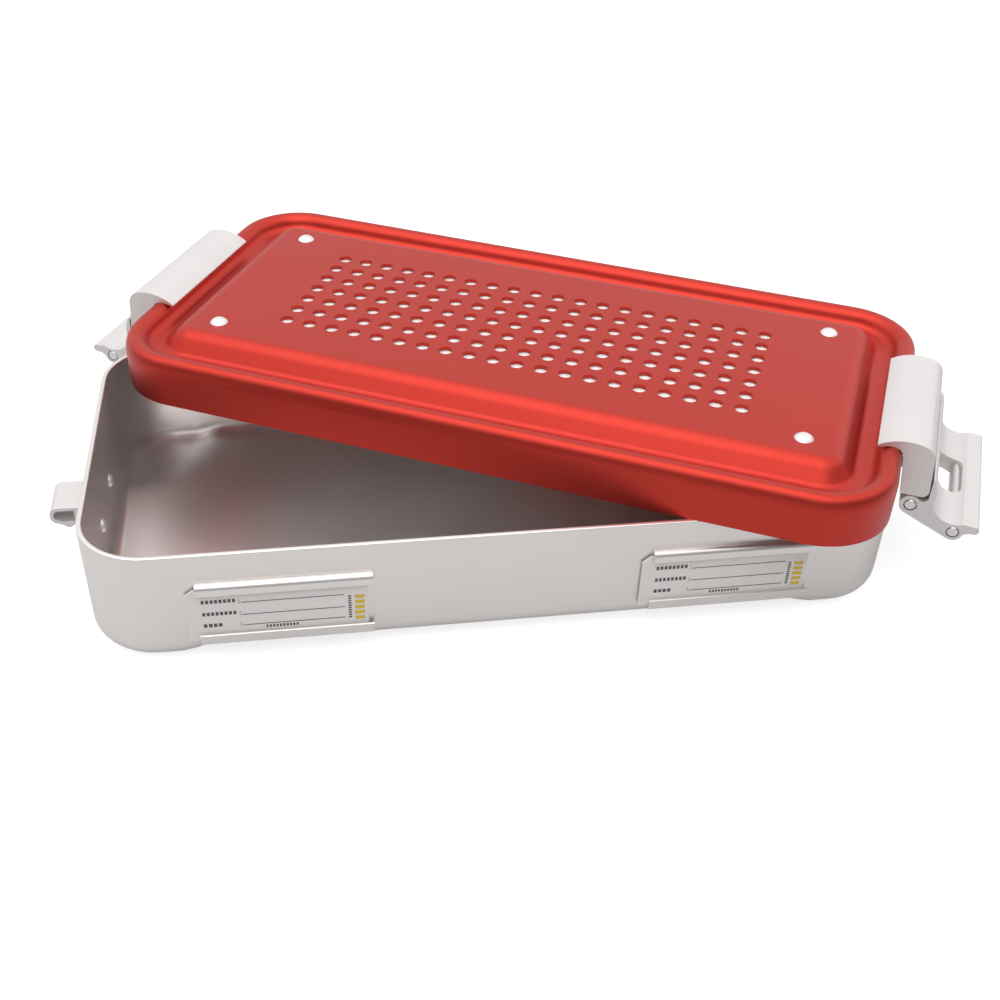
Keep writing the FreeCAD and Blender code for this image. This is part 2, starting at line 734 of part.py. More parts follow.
def make_label_holder(name, centre):
    body = new_body("label_holder_" + name)
    channel = new_sketch(body, "holder_channel_" + name, "YZ_Plane")
    front = -tray_half_y
    metal = size("holder_sheet")
    depth = size("holder_depth")
    lip = size("holder_lip")
    top = rim_z - size("holder_top_drop")
    bottom = top - size("holder_height")
    inner = front - metal - size("card_thickness") - 2 * size("card_gap")
    draw_outline(channel, (front, top), [
        [(front - metal, top)],
        [(front - depth, top - lip)],
        [(front - depth + 0.6, top - lip - 0.5)],
        [(inner, top - 1.9)],
        [(front - metal, top - 1.9)],
        [(front - metal, bottom + 1.9)],
        [(inner, bottom + 1.9)],
        [(front - depth + 0.6, bottom + lip + 0.9)],
        [(front - depth, bottom + lip + 0.6)],
        [(front - depth + 0.6, bottom + 0.7)],
        [(front - metal, bottom)],
        [(front, bottom)],
        [(front, top)],
    ])
    pad(body, channel, "sizes.holder_length", True)
    return keep(body, "label_holder_" + name, FreeCAD.Placement(vec(centre, 0, 0), FreeCAD.Rotation()))


def make_label_card(name, centre):
    body = new_body("label_card_" + name)
    card = new_sketch(body, "card_outline_" + name, "XZ_Plane")
    half = size("holder_length") / 2
    start = -half - size("card_overhang")
    end = half - size("card_overhang") / 2
    middle = rim_z - size("holder_top_drop") - size("holder_height") / 2
    low = middle - size("card_height") / 2
    high = middle + size("card_height") / 2
    draw_outline(card, (start, low), [
        [(end, low)],
        [(end, high)],
        [(start + size("card_chamfer_x"), high)],
        [(start, high - size("card_chamfer_z"))],
        [(start, low)],
    ])
    lift(card, "sizes.tray_width / 2 + sizes.holder_sheet + sizes.card_gap")
    pad(body, card, "sizes.card_thickness")
    return keep(body, "label_card_" + name, FreeCAD.Placement(vec(centre, 0, 0), FreeCAD.Rotation()))


# The pieces

make_tray()
make_lid()
make_gasket()
make_filter_sheet()
make_filter_retainer()
make_lid_rivets()
for side, angle in ends.items():
    make_clamp(side, angle)
    make_clamp_rivets(side, angle)
    make_pin("hinge_pin", side, angle, hinge_x, hinge_z)
    make_pin("catch_bar", side, angle, bar_x, bar_z)
    make_lever(side, angle)
    make_bracket(side, angle)
    make_catch_rivets(side, angle)
for name, centre in holders.items():
    make_label_holder(name, centre)
    make_label_card(name, centre)

document.recompute()

# Every object is checked before anything is written

for item in document.Objects:
    if "Invalid" in item.State or "Error" in item.State:
        raise RuntimeError(item.Label + " failed: " + ", ".join(item.State))
for piece in sub_parts:
    if piece.Shape.isNull() or not piece.Shape.isValid() or not piece.Shape.Solids:
        raise RuntimeError(piece.Label + " has no valid shape")

os.makedirs("parts", exist_ok=True)
for piece in sub_parts:
    piece.Shape.exportStep(os.path.join("parts", piece.Label + ".step"))
    box = piece.Shape.BoundBox
    print("%-22s %d solid(s) %9.1f mm3  x %7.1f %7.1f  y %7.1f %7.1f  z %6.1f %6.1f" % (
        piece.Label, len(piece.Shape.Solids), piece.Shape.Volume,
        box.XMin, box.XMax, box.YMin, box.YMax, box.ZMin, box.ZMax))
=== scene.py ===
import json
import math

import bmesh
import bpy
from mathutils import Matrix, Vector


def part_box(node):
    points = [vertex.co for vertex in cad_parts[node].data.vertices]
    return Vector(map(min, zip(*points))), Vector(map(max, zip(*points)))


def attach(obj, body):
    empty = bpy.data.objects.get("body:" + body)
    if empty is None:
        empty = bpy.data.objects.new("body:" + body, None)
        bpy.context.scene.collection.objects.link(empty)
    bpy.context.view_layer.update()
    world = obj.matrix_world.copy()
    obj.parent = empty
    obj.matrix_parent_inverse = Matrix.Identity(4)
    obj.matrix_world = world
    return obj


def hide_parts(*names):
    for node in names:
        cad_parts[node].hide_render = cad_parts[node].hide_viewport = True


bl_info = {
    "name": "Sterilization box",
    "version": (1, 0, 0),
    "blender": (4, 5, 0),
    "location": "3D View > Sidebar > Sterilization box",
    "description": "Gives the pieces of a sterilization box their real surfaces and finishes",
    "category": "Object",
}

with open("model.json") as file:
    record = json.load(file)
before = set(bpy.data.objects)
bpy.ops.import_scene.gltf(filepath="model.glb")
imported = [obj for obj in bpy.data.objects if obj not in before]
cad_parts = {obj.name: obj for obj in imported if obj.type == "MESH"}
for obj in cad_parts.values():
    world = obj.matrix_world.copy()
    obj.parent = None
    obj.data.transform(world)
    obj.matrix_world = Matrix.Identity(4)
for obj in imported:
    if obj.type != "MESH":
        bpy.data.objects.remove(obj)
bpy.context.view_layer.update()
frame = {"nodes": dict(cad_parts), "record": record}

MM = 0.001

# Turn of the lid on the tray, in degrees
LID_YAW = -26.8


# Colours and nodes

def linear(code):
    """Linear colour of an sRGB hex value."""
    parts = [int(code[place:place + 2], 16) / 255 for place in (1, 3, 5)]
    return [part / 12.92 if part <= 0.04045 else ((part + 0.055) / 1.055) ** 2.4 for part in parts]


def add_node(tree, kind, inputs=None, **settings):
    """Adds a node. An input that is given a socket is linked to it, any other is set."""
    node = tree.nodes.new(kind)
    for key, value in settings.items():
        setattr(node, key, value)
    for key, value in (inputs or {}).items():
        if isinstance(value, bpy.types.NodeSocket):
            tree.links.new(value, node.inputs[key])
        else:
            node.inputs[key].default_value = value
    return node


def new_material(name):
    """A material with a Principled shader joined to its output."""
    material = bpy.data.materials.new(name)
    material.use_nodes = True
    tree = material.node_tree
    tree.nodes.clear()
    shader = add_node(tree, "ShaderNodeBsdfPrincipled")
    add_node(tree, "ShaderNodeOutputMaterial", {"Surface": shader.outputs["BSDF"]})
    return material, tree, shader


def object_point(tree, stretch=(1, 1, 1)):
    """Position in the object's own metres, stretched along its axes."""
    place = add_node(tree, "ShaderNodeTexCoord").outputs["Object"]
    return add_node(tree, "ShaderNodeMapping", {"Vector": place, "Scale": stretch}).outputs["Vector"]


def spread(tree, value, low, high):
    """A 0 to 1 pattern turned into the range from low to high."""
    ranged = add_node(tree, "ShaderNodeMapRange", {"Value": value, "To Min": low, "To Max": high})
    return ranged.outputs["Result"]


def tinted(tree, fac, colour, low, high):
    """The colour made darker and lighter by a pattern, from low to high times itself."""
    dark = [part * low for part in colour] + [1]
    light = [part * high for part in colour] + [1]
    mix = add_node(tree, "ShaderNodeMixRGB", {"Fac": fac, "Color1": dark, "Color2": light})
    return mix.outputs["Color"]


# Materials

def anodised_aluminium(name, colour, roughness, metallic, film):
    """Etched and anodised aluminium sheet.

    The etch leaves a fine silky grain, drawn at 0.25 mm where the real one is about
    0.05 mm, so the metal shines softly and no reflection has an edge. The oxide film over
    it scatters some light, which makes the metal paler, and adds a faint white sheen where
    it is thick enough to hold dye. A cloudy variation of some centimetres comes from the bath.
    """
    material, tree, shader = new_material(name)
    grain_size = 0.25 * MM
    cloud_size = 35 * MM
    place = object_point(tree)
    grain = add_node(tree, "ShaderNodeTexNoise", {
        "Vector": place, "Scale": 1 / grain_size, "Detail": 2.0})
    cloud = add_node(tree, "ShaderNodeTexNoise", {
        "Vector": place, "Scale": 1 / cloud_size, "Detail": 3.0})
    bump = add_node(tree, "ShaderNodeBump", {
        "Strength": 0.25, "Distance": 0.02 * MM, "Height": grain.outputs["Fac"]})
    tree.links.new(bump.outputs["Normal"], shader.inputs["Normal"])
    tree.links.new(tinted(tree, cloud.outputs["Fac"], colour, 0.96, 1.04), shader.inputs["Base Color"])
    tree.links.new(spread(tree, cloud.outputs["Fac"], roughness - 0.04, roughness + 0.04),
                   shader.inputs["Roughness"])
    shader.inputs["Metallic"].default_value = metallic
    shader.inputs["Coat Weight"].default_value = film
    shader.inputs["Coat Roughness"].default_value = 0.45
    shader.inputs["Coat IOR"].default_value = 1.6
    return material


def extruded_aluminium(name, colour, roughness, metallic):
    """Extruded and anodised aluminium.

    The die leaves faint lines along the latch, drawn 0.4 mm apart where the real ones are
    about 0.1 mm. The etch and the clear oxide turn the shine nearly white and matt.
    """
    material, tree, shader = new_material(name)
    line_spacing = 0.4 * MM
    line_length = 60 * MM
    cloud_size = 12 * MM
    yaw = math.radians(LID_YAW)
    place = add_node(tree, "ShaderNodeTexCoord").outputs["Object"]
    turn = add_node(tree, "ShaderNodeVectorRotate", {"Vector": place, "Angle": -yaw},
                    rotation_type="Z_AXIS")
    lined = add_node(tree, "ShaderNodeMapping", {
        "Vector": turn.outputs["Vector"],
        "Scale": (1 / line_spacing, 1 / line_length, 1 / line_spacing)})
    lines = add_node(tree, "ShaderNodeTexNoise", {
        "Vector": lined.outputs["Vector"], "Scale": 1.0, "Detail": 2.0})
    cloud = add_node(tree, "ShaderNodeTexNoise", {
        "Vector": turn.outputs["Vector"], "Scale": 1 / cloud_size, "Detail": 3.0})
    bump = add_node(tree, "ShaderNodeBump", {
        "Strength": 0.08, "Distance": 0.02 * MM, "Height": lines.outputs["Fac"]})
    tree.links.new(bump.outputs["Normal"], shader.inputs["Normal"])
    tree.links.new(tinted(tree, cloud.outputs["Fac"], colour, 0.97, 1.03), shader.inputs["Base Color"])
    tree.links.new(spread(tree, lines.outputs["Fac"], roughness - 0.03, roughness + 0.03),
                   shader.inputs["Roughness"])
    shader.inputs["Metallic"].default_value = metallic
    return material


def stainless_steel(name, colour, roughness, metallic=1.0):
    """Stainless steel: turned it is brighter and sharper than the anodised sheet, tumbled it is matt."""
    material, tree, shader = new_material(name)
    scratch_size = 0.6 * MM
    scratch = add_node(tree, "ShaderNodeTexNoise", {
        "Vector": object_point(tree), "Scale": 1 / scratch_size, "Detail": 4.0})
    tree.links.new(tinted(tree, scratch.outputs["Fac"], colour, 0.95, 1.05), shader.inputs["Base Color"])
    tree.links.new(spread(tree, scratch.outputs["Fac"], roughness - 0.06, roughness + 0.06),
                   shader.inputs["Roughness"])
    shader.inputs["Metallic"].default_value = metallic
    return material


def silicone_rubber(name, colour):
    """Moulded silicone: milky, soft and a little greasy in its shine."""
    material, tree, shader = new_material(name)
    cloud_size = 8 * MM
    cloud = add_node(tree, "ShaderNodeTexNoise", {
        "Vector": object_point(tree), "Scale": 1 / cloud_size, "Detail": 3.0})
    tree.links.new(tinted(tree, cloud.outputs["Fac"], colour, 0.94, 1.03), shader.inputs["Base Color"])
    tree.links.new(spread(tree, cloud.outputs["Fac"], 0.42, 0.52), shader.inputs["Roughness"])
    shader.inputs["IOR"].default_value = 1.41
    return material


def nonwoven_filter(name, colour):
    """Non-woven filter sheet: matted white fibres 0.3 mm apart that let light spread, with no shine."""
    material, tree, shader = new_material(name)
    fibre = 0.3 * MM
    length = 2.5 * MM
    place = object_point(tree, (1 / fibre, 1 / length, 1 / fibre))
    across = object_point(tree, (1 / length, 1 / fibre, 1 / fibre))
    one_way = add_node(tree, "ShaderNodeTexNoise", {"Vector": place, "Scale": 1.0, "Detail": 2.0})
    other_way = add_node(tree, "ShaderNodeTexNoise", {"Vector": across, "Scale": 1.0, "Detail": 2.0})
    mat = add_node(tree, "ShaderNodeMath", {0: one_way.outputs["Fac"], 1: other_way.outputs["Fac"]},
                   operation="MAXIMUM")
    bump = add_node(tree, "ShaderNodeBump", {
        "Strength": 0.5, "Distance": 0.1 * MM, "Height": mat.outputs["Value"]})
    tree.links.new(bump.outputs["Normal"], shader.inputs["Normal"])
    tree.links.new(tinted(tree, mat.outputs["Value"], colour, 0.94, 1.0), shader.inputs["Base Color"])
    shader.inputs["Roughness"].default_value = 0.9
    shader.inputs["Subsurface Weight"].default_value = 0.6
    shader.inputs["Subsurface Radius"].default_value = (1, 1, 1)
    shader.inputs["Subsurface Scale"].default_value = 1.5 * MM
    return material


def coated_card(name, colour, roughness):
    """Coated card or the ink on it: smooth, with the faintest paper tooth of 0.2 mm."""
    material, tree, shader = new_material(name)
    tooth = 0.2 * MM
    noise = add_node(tree, "ShaderNodeTexNoise", {
        "Vector": object_point(tree), "Scale": 1 / tooth, "Detail": 2.0})
    bump = add_node(tree, "ShaderNodeBump", {
        "Strength": 0.15, "Distance": 0.02 * MM, "Height": noise.outputs["Fac"]})
    tree.links.new(bump.outputs["Normal"], shader.inputs["Normal"])
    tree.links.new(tinted(tree, noise.outputs["Fac"], colour, 0.97, 1.02), shader.inputs["Base Color"])
    shader.inputs["Roughness"].default_value = roughness
    return material


# Sizes and colours that a user would change

class BoxSizes(bpy.types.PropertyGroup):
    """Sizes of the small forms that the solids don't have."""
    edge_round: bpy.props.FloatProperty(
        name="Edge rounding", description="Radius of the broken edges of extruded pieces",
        default=0.25 * MM, unit="LENGTH")
    sheet_round: bpy.props.FloatProperty(
        name="Sheet edge rounding", description="Radius of the deburred edges of sheet metal",
        default=0.2 * MM, unit="LENGTH")
    hole_round: bpy.props.FloatProperty(
        name="Hole edge rounding", description="Radius of the punched edges of the lid's holes",
        default=0.15 * MM, unit="LENGTH")
    filter_loft: bpy.props.FloatProperty(
        name="Filter loft", description="How far the filter's loose fibres rise towards the panel",
        default=0.7 * MM, unit="LENGTH")
    ink_height: bpy.props.FloatProperty(
        name="Ink height", description="Height of the printed fields over the card",
        default=0.03 * MM, unit="LENGTH")


class BoxColours(bpy.types.PropertyGroup):
    """Colours of the finishes."""
    tray: bpy.props.FloatVectorProperty(
        name="Tray", description="Clear anodised tray and holders", subtype="COLOR",
        default=linear("#EFEAE8"))
    lid: bpy.props.FloatVectorProperty(
        name="Lid", description="Red anodised lid", subtype="COLOR", default=linear("#C42B19"))
    latch: bpy.props.FloatVectorProperty(
        name="Latches", description="Clear anodised extrusions", subtype="COLOR",
        default=linear("#E4E0DF"))
    steel: bpy.props.FloatVectorProperty(
        name="Steel", description="Pins and bars", subtype="COLOR", default=linear("#E2E0DF"))
    rivet: bpy.props.FloatVectorProperty(
        name="Rivets", description="Tumbled rivets", subtype="COLOR", default=linear("#F2EEED"))
    # Retainer: a steel grey set darker than the plate's own colour, as painted shade, so that the tray's
    # inside, which mirrors the plate, reads darker
    retainer: bpy.props.FloatVectorProperty(
        name="Retainer", description="Plate that holds the filter", subtype="COLOR",
        default=linear("#9A9896"))
    gasket: bpy.props.FloatVectorProperty(
        name="Gasket", description="Silicone gasket", subtype="COLOR", default=linear("#C9C8C4"))
    filter: bpy.props.FloatVectorProperty(
        name="Filter", description="Filter sheet", subtype="COLOR", default=linear("#FCFBF9"))
    card: bpy.props.FloatVectorProperty(
        name="Card", description="Label card", subtype="COLOR", default=linear("#F8F4F2"))
    ink: bpy.props.FloatVectorProperty(
        name="Ink", description="Dark print on the cards", subtype="COLOR", default=linear("#5A5757"))
    patch: bpy.props.FloatVectorProperty(
        name="Patch", description="Yellow patch on the cards", subtype="COLOR",
        default=linear("#EAC850"))


# Mesh helpers

def mark_sharp_edges(mesh, angle=math.radians(32)):
    """Shades all faces smooth and keeps the edges sharp where the surface turns."""
    work = bmesh.new()
    work.from_mesh(mesh)
    for face in work.faces:
        face.smooth = True
    for edge in work.edges:
        edge.smooth = edge.is_manifold and edge.calc_face_angle() < angle
    work.to_mesh(mesh)
    work.free()


def with_modifiers(piece):
    """Puts the mesh that the piece's modifiers give in the place of its own."""
    graph = bpy.context.evaluated_depsgraph_get()
    mesh = bpy.data.meshes.new_from_object(piece.evaluated_get(graph))
    piece.modifiers.clear()
    piece.data = mesh
    mesh.name = piece.name


def solid_copy(name, node):
    """A welded copy of a node's solid, with flat faces joined."""
    mesh = frame["nodes"][node].data.copy()
    mesh.name = name
    mesh.materials.clear()
    work = bmesh.new()
    work.from_mesh(mesh)
    bmesh.ops.remove_doubles(work, verts=work.verts[:], dist=0.001 * MM)
    bmesh.ops.dissolve_limit(work, angle_limit=math.radians(0.3), verts=work.verts[:],
                             edges=work.edges[:])
    work.to_mesh(mesh)
    work.free()
    piece = bpy.data.objects.new(name, mesh)
    bpy.context.scene.collection.objects.link(piece)
    return piece


def new_piece(name, work):
    """An object in the scene from a mesh that was worked on."""
    mesh = bpy.data.meshes.new(name)
    work.to_mesh(mesh)
    work.free()
    piece = bpy.data.objects.new(name, mesh)
    bpy.context.scene.collection.objects.link(piece)
    return piece


def even_shading(piece):
    """Smooth shading that leaves the flat faces flat."""
    mark_sharp_edges(piece.data, angle=math.radians(50))
    even = piece.modifiers.new("shading", "WEIGHTED_NORMAL")
    even.keep_sharp = True
    with_modifiers(piece)


def break_edges(piece, width, segments=2, angle=math.radians(40)):
    """Rounds the sharp edges and evens out the shading of the flat faces."""
    bevel = piece.modifiers.new("edges", "BEVEL")
    bevel.width = width
    bevel.segments = segments
    bevel.limit_method = "ANGLE"
    bevel.angle_limit = angle
    bevel.use_clamp_overlap = True
    mark_sharp_edges(piece.data)
    with_modifiers(piece)
    even_shading(piece)


def body_of_node(node):
    for body, members in frame["record"]["behaviour"]["bodies"].items():
        if node in members:
            return body
    raise RuntimeError("no body holds " + node)


def seat(piece, node, material, stands_for=True):
    """The piece rides with the node's body, and takes the node's place."""
    piece.data.materials.clear()
    piece.data.materials.append(material)
    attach(piece, body_of_node(node))
    if stands_for:
        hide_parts(node)


def material_once(name, maker, *values, **options):
    """The material of that name, made the first time that a piece needs it."""
    found = bpy.data.materials.get(name)
    return found if found else maker(name, *values, **options)


def sizes():
    return bpy.context.scene.box_sizes


def colours():
    return bpy.context.scene.box_colours


def tray_metal():
    return material_once("clear_anodised_sheet", anodised_aluminium, colours().tray[:],
                         roughness=0.36, metallic=0.92, film=0.0)


def latch_metal():
    return material_once("clear_anodised_extrusion", extruded_aluminium, colours().latch[:],
                         roughness=0.5, metallic=0.6)


def steel_metal():
    return material_once("stainless_steel", stainless_steel, colours().steel[:], roughness=0.3)


def dressed(name, node, material, width):
    piece = solid_copy(name, node)
    break_edges(piece, width)
    seat(piece, node, material)
    return piece


# Operators, one for each piece or group of like pieces

# Shape of the drawn tray, in millimetres, and how far its wall follows the floor up

TRAY_SHEET = 2.0
TRAY_CORNER = 25.6
TRAY_BOTTOM_RADIUS = 8.0
RIM_ROUND = 0.6
FOOT_DEPTH = 2.5
FOOT_FLAT = 33.0
FOOT_END = 44.5
FLOOR_RINGS = 16
FLOOR_RING_STEP = 3.0
LOW_WALL = 12.0
LOW_WALL_FOLLOW = 0.9
MID_WALL_FOLLOW = 0.45
BOTTOM_STEPS = 8
RIM_STEPS = 3


def rounded_ring(half_x, half_y, corner):
    """Points round a rectangle with round corners, as many for any size."""
    arc_steps, long_steps, short_steps = 14, 64, 24
    points = []
    for turn, side_steps in zip(range(4), (long_steps, short_steps, long_steps, short_steps)):
        side_x, side_y = ((1, 1), (-1, 1), (-1, -1), (1, -1))[turn]
        centre = Vector((side_x * (half_x - corner), side_y * (half_y - corner)))
        next_x, next_y = ((-1, 1), (-1, -1), (1, -1), (1, 1))[turn]
        for step in range(arc_steps):
            angle = math.radians(90) * (turn + step / arc_steps)
            points.append(centre + corner * Vector((math.cos(angle), math.sin(angle))))
        angle = math.radians(90) * (turn + 1)
        outward = corner * Vector((math.cos(angle), math.sin(angle)))
        next_centre = Vector((next_x * (half_x - corner), next_y * (half_y - corner)))
        for step in range(side_steps):
            points.append(centre.lerp(next_centre, step / side_steps) + outward)
    return points


def quarter(centre, radius, start, steps):
    """Points of a quarter circle in the section of the tray, as inset and height."""
    angles = [math.radians(start + 90 * step / steps) for step in range(steps + 1)]
    return [(centre[0] + radius * math.cos(angle), centre[1] + radius * math.sin(angle))
            for angle in angles]


def tray_section(height):
    """The tray's section from the middle of its inside, over the rim, to the middle of its outside.

    Each point is its inset from the outer wall, its height at a foot, and how far it
    follows the floor up where there is no foot.
    """
    radius = TRAY_BOTTOM_RADIUS
    insets = [radius + FLOOR_RING_STEP * step for step in range(FLOOR_RINGS, 0, -1)]
    inside = [(inset, TRAY_SHEET, 1) for inset in insets]
    hollow = quarter((radius, radius), radius - TRAY_SHEET, 180, BOTTOM_STEPS)
    inside += [point + (1,) for point in reversed(hollow)]
    walls = [(LOW_WALL, LOW_WALL_FOLLOW), (height / 2, MID_WALL_FOLLOW)]
    inside += [(TRAY_SHEET, level, follow) for level, follow in walls]
    rim = quarter((TRAY_SHEET - RIM_ROUND, height - RIM_ROUND), RIM_ROUND, 0, RIM_STEPS)
    rim += quarter((RIM_ROUND, height - RIM_ROUND), RIM_ROUND, 90, RIM_STEPS)
    outside = [(0.0, level, follow) for level, follow in reversed(walls)]
    outside += [point + (1,) for point in quarter((radius, radius), radius, 180, BOTTOM_STEPS)]
    outside += [(inset, 0.0, 1) for inset in reversed(insets)]
    return inside + [point + (0,) for point in rim] + outside


def foot_share(x, y, half_x, half_y):
    """1 on a pressed corner foot, 0 beyond it, with a soft slope between."""
    away = math.hypot(half_x - abs(x), half_y - abs(y))
    share = min(max((FOOT_END - away) / (FOOT_END - FOOT_FLAT), 0.0), 1.0)
    return share * share * (3 - 2 * share)


class BuildTray(bpy.types.Operator):
    """Drawn tray with pressed corner feet"""
    bl_idname = "box.build_tray"
    bl_label = "Tray"

    def execute(self, context):
        low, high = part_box("tray")
        half_x, half_y, height = [value / MM for value in high]
        work = bmesh.new()
        rings = []
        for inset, level, follow in tray_section(height):
            corner = max(TRAY_CORNER - inset, 1.0)
            ring = []
            for point in rounded_ring(half_x - inset, half_y - inset, corner):
                lift = FOOT_DEPTH * follow * (1 - foot_share(point.x, point.y, half_x, half_y))
                ring.append(work.verts.new(MM * Vector((point.x, point.y, level + lift))))
            rings.append(ring)
        for ring, following in zip(rings, rings[1:]):
            for place, vert in enumerate(ring):
                work.faces.new((ring[place - 1], vert, following[place], following[place - 1]))
        work.faces.new(rings[0])
        work.faces.new(rings[-1])
        bmesh.ops.recalc_face_normals(work, faces=work.faces[:])
        piece = new_piece("tray_shell", work)
        even_shading(piece)
        seat(piece, "tray", tray_metal())
        return {"FINISHED"}


# Shape of the lid's shoulder, in millimetres

LID_HALF_X = 156.5
LID_HALF_Y = 76.5
LID_CORNER = 28.6
PANEL_RISE = 1.8
SHOULDER = 4.0
SHOULDER_EXTRA = 2.2


def inset_in_lid(place, centre):
    """How far inside the lid's outline a point is, in millimetres."""
    local = Matrix.Rotation(math.radians(-LID_YAW), 3, "Z") @ (place - centre) / MM
    past_x = abs(local.x) - (LID_HALF_X - LID_CORNER)
    past_y = abs(local.y) - (LID_HALF_Y - LID_CORNER)
    outside = math.hypot(max(past_x, 0), max(past_y, 0)) + min(max(past_x, past_y), 0)
    return LID_CORNER - outside


def soften_shoulder(piece, node):
    """Lets the lid's shoulder run further down the skirt, as the drawn sheet does."""
    low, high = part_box(node)
    centre = (low + high) / 2
    top = high.z / MM - PANEL_RISE
    reach = top - low.z / MM
    for vert in piece.data.vertices:
        inset = inset_in_lid(vert.co, centre)
        depth = top - vert.co.z / MM
        if inset >= SHOULDER or depth <= 0:
            continue
        side = 1 - max(inset, 0) / SHOULDER
        share = depth / SHOULDER if depth < SHOULDER else (reach - depth) / (reach - SHOULDER)
        vert.co.z -= SHOULDER_EXTRA * MM * side * share


class BuildLid(bpy.types.Operator):
    """Drawn and perforated lid"""
    bl_idname = "box.build_lid"
    bl_label = "Lid"

    def execute(self, context):
        red = material_once("red_anodised_sheet", anodised_aluminium, colours().lid[:],
                            roughness=0.44, metallic=1.0, film=0.5)
        piece = dressed("lid_shell", "lid", red, sizes().hole_round)
        soften_shoulder(piece, "lid")
        even_shading(piece)
        return {"FINISHED"}


class BuildLidInside(bpy.types.Operator):
    """Gasket, filter sheet and its retainer"""
    bl_idname = "box.build_lid_inside"
    bl_label = "Gasket and filter"

    def execute(self, context):
        rubber = material_once("silicone_rubber", silicone_rubber, colours().gasket[:])
        paper = material_once("nonwoven_filter", nonwoven_filter, colours().filter[:])
        dressed("gasket_ring", "lid_gasket", rubber, 3 * sizes().edge_round)
        # The retainer's steel is partly its own grey and partly painted shade: its dark colour stands in
        # for the shade inside the tray that reflects it
        plate = material_once("passivated_steel_plate", stainless_steel, colours().retainer[:],
                              roughness=0.45)
        mat = dressed("filter_mat", "filter_sheet", paper, sizes().hole_round)
        low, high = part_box("filter_sheet")
        for vert in mat.data.vertices:
            if vert.co.z > (low.z + high.z) / 2:
                vert.co.z += sizes().filter_loft
        dressed("retainer_plate", "filter_retainer", plate, sizes().sheet_round)
        return {"FINISHED"}


# Rivets: radius of the shank, and how much of a head's overhang is left

RIVET_SHANK = 2.0 * MM
LID_HEAD_SHARE = 0.66
CATCH_HEAD_SHARE = 0.43


def draw_in_heads(piece, along, share):
    """Brings the heads of rivets nearer to their shanks, each about its own axis."""
    work = bmesh.new()
    work.from_mesh(piece.data)
    seen = set()
    for start in work.verts:
        if start in seen:
            continue
        seen.add(start)
        group = [start]
        for vert in group:
            for edge in vert.link_edges:
                other = edge.other_vert(vert)
                if other not in seen:
                    seen.add(other)
                    group.append(other)
        middle = sum([vert.co for vert in group], Vector()) / len(group)
        for vert in group:
            offset = vert.co - middle
            radial = offset - along * offset.dot(along)
            past = radial.length - RIVET_SHANK
            if past > 0:
                vert.co -= radial.normalized() * past * (1 - share)
    work.to_mesh(piece.data)
    work.free()
    even_shading(piece)


class BuildRivets(bpy.types.Operator):
    """Rivets of the lid, the clamps and the catches"""
    bl_idname = "box.build_rivets"
    bl_label = "Rivets"

    def execute(self, context):
        matt = material_once("tumbled_rivet_steel", stainless_steel, colours().rivet[:],
                             roughness=0.45, metallic=0.8)
        lid_set = dressed("lid_rivets_steel", "lid_rivets", matt, sizes().hole_round)
        draw_in_heads(lid_set, Vector((0, 0, 1)), LID_HEAD_SHARE)
        for side in ("left", "right"):
            dressed("clamp_rivets_" + side + "_steel", "clamp_rivets_" + side, matt, sizes().hole_round)
            pair = dressed("catch_rivets_" + side + "_steel", "catch_rivets_" + side, matt,
                           sizes().hole_round)
            draw_in_heads(pair, Vector((1, 0, 0)), CATCH_HEAD_SHARE)
        return {"FINISHED"}


# Necks turned at the ends of the pins

PIN_NECK = 0.36 * MM
PIN_NECK_LENGTH = 1.5 * MM
PIN_CHAMFER = 0.3 * MM


def turned_pin(name, node):
    """Pin with a neck turned at each end, which leaves a dark ring in the mouth of its bore."""
    along = Matrix.Rotation(math.radians(LID_YAW), 3, "Z") @ Vector((0, 1, 0))
    places = [vert.co.copy() for vert in frame["nodes"][node].data.vertices]
    middle = sum(places, Vector()) / len(places)
    half = max((place - middle).dot(along) for place in places)
    radius = max(((place - middle) - (place - middle).dot(along) * along).length for place in places)
    side = along.cross(Vector((0, 0, 1)))
    neck = radius - PIN_NECK
    section = [(half, 0.0), (half, neck - PIN_CHAMFER), (half - PIN_CHAMFER, neck),
               (half - PIN_NECK_LENGTH, neck), (half - PIN_NECK_LENGTH, radius)]
    section += [(-distance, width) for distance, width in reversed(section)]
    work = bmesh.new()
    verts = [work.verts.new(middle + along * distance + side * width) for distance, width in section]
    edges = [work.edges.new(pair) for pair in zip(verts, verts[1:])]
    bmesh.ops.spin(work, geom=verts + edges, cent=middle, axis=along, angle=math.radians(360), steps=40)
    bmesh.ops.remove_doubles(work, verts=work.verts[:], dist=0.001 * MM)
    bmesh.ops.recalc_face_normals(work, faces=work.faces[:])
    piece = new_piece(name, work)
    mark_sharp_edges(piece.data)
    seat(piece, node, steel_metal())


class BuildLatches(bpy.types.Operator):
    """Clamps, levers, hinge pins and catch bars of both latches"""
    bl_idname = "box.build_latches"
    bl_label = "Latches"

    def execute(self, context):
        for side in ("left", "right"):
            dressed("clamp_" + side, "latch_clamp_" + side, latch_metal(), sizes().edge_round)
            dressed("lever_" + side, "latch_lever_" + side, latch_metal(), sizes().edge_round)
            turned_pin("pin_" + side, "hinge_pin_" + side)
            turned_pin("bar_" + side, "catch_bar_" + side)
        return {"FINISHED"}


class BuildCatches(bpy.types.Operator):
    """Catch brackets on the tray's end walls"""
    bl_idname = "box.build_catches"
    bl_label = "Catch brackets"

    def execute(self, context):
        for side in ("left", "right"):
            dressed("catch_" + side, "catch_bracket_" + side, latch_metal(), sizes().edge_round)
        return {"FINISHED"}


# Section of the label holder, in millimetres

HOLDER_SHEET = 0.8
HOLDER_INSIDE = 1.6
HOLDER_DEPTH = 3.0
LIP_ROLL = 2.6
LIP_ROLL_STEPS = 6
LIP_DROP = 4.4
LIP_ROOT = 1.9
LIP_SLANT = 0.6
LOWER_LIP = 5.0


